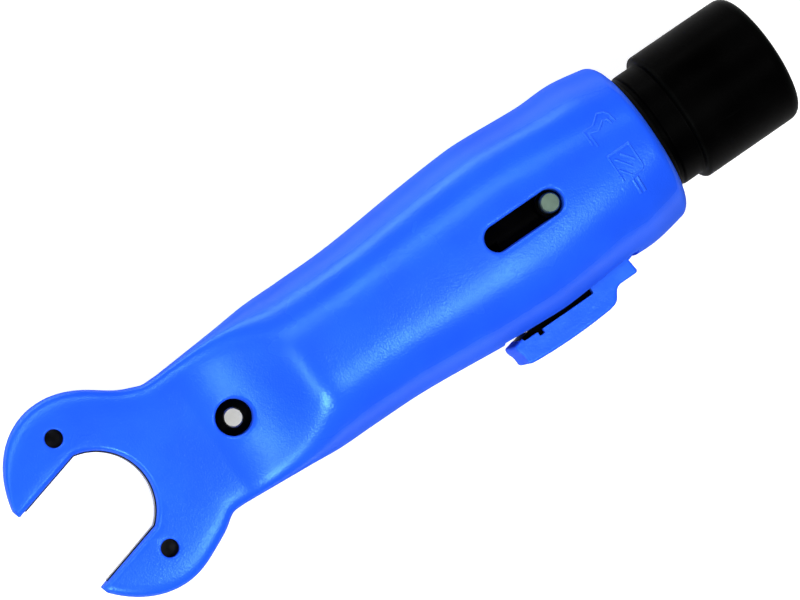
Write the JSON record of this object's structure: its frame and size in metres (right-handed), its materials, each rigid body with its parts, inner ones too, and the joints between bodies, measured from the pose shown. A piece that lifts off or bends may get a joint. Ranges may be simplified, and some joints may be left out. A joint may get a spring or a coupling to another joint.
{
  "type": "coaxial cable stripper",
  "caption": "Hand-held rotary coaxial cable stripper: blue moulded body with an open spanner end, turning black cable guide, pressed blade lever and a sprung cable stop.",
  "frame": {"origin": "on the cable axis, in the plane of the body's open end, inside the guide's bore", "axes": "+X out of the cable guide along the cable, +Z out of the face with the slot; the blade lever is on the -Y side and the tool lies on its back"},
  "size_m": [0.0947, 0.0264, 0.0188],
  "materials": {
    "blue_moulding": "satin moulded nylon, bright blue",
    "black_moulding": "satin moulded plastic, black",
    "rubber_ring": "soft black rubber",
    "dark_steel": "blackened steel",
    "bright_steel": "ground bright steel",
    "spring_steel": "drawn spring wire",
    "blade_steel": "ground blade steel"
  },
  "bodies": {
    "tool_body": {"body": "blue_moulding", "spanner_insert": "dark_steel", "spring_rod": "black_moulding", "anchor_pin": "bright_steel", "hinge_pin": "bright_steel", "return_spring": "spring_steel", "lever_spring": "spring_steel"},
    "guide_head": {"cable_guide": "black_moulding", "retaining_ring": "bright_steel", "drag_ring": "rubber_ring"},
    "stop_slide": {"cable_stop": "black_moulding", "stop_pin": "bright_steel"},
    "press_lever": {"blade_lever": "blue_moulding", "blade_cassette": "black_moulding", "jacket_blade": "blade_steel", "core_blade": "blade_steel", "cassette_screw": "bright_steel"}
  },
  "joints": [
    {"name": "guide_turn", "type": "hinge", "parent": "tool_body", "child": "guide_head", "pos_m": [0, 0, 0], "axis": [1, 0, 0], "continuous": true},
    {"name": "stop_travel", "type": "slide", "parent": "tool_body", "child": "stop_slide", "axis": [-1, 0, 0], "range_m": [0, 0.00675], "stiffness_N_per_m": 400, "springref_m": -0.006, "deforming": ["return_spring"]},
    {"name": "lever_press", "type": "hinge", "parent": "tool_body", "child": "press_lever", "pos_m": [-0.009, -0.00866, 0], "axis": [0, 0, -1], "range_deg": [0, 13], "stiffness_Nm_per_rad": 0.05, "springref_deg": -11.46, "deforming": ["lever_spring"]}
  ]
}
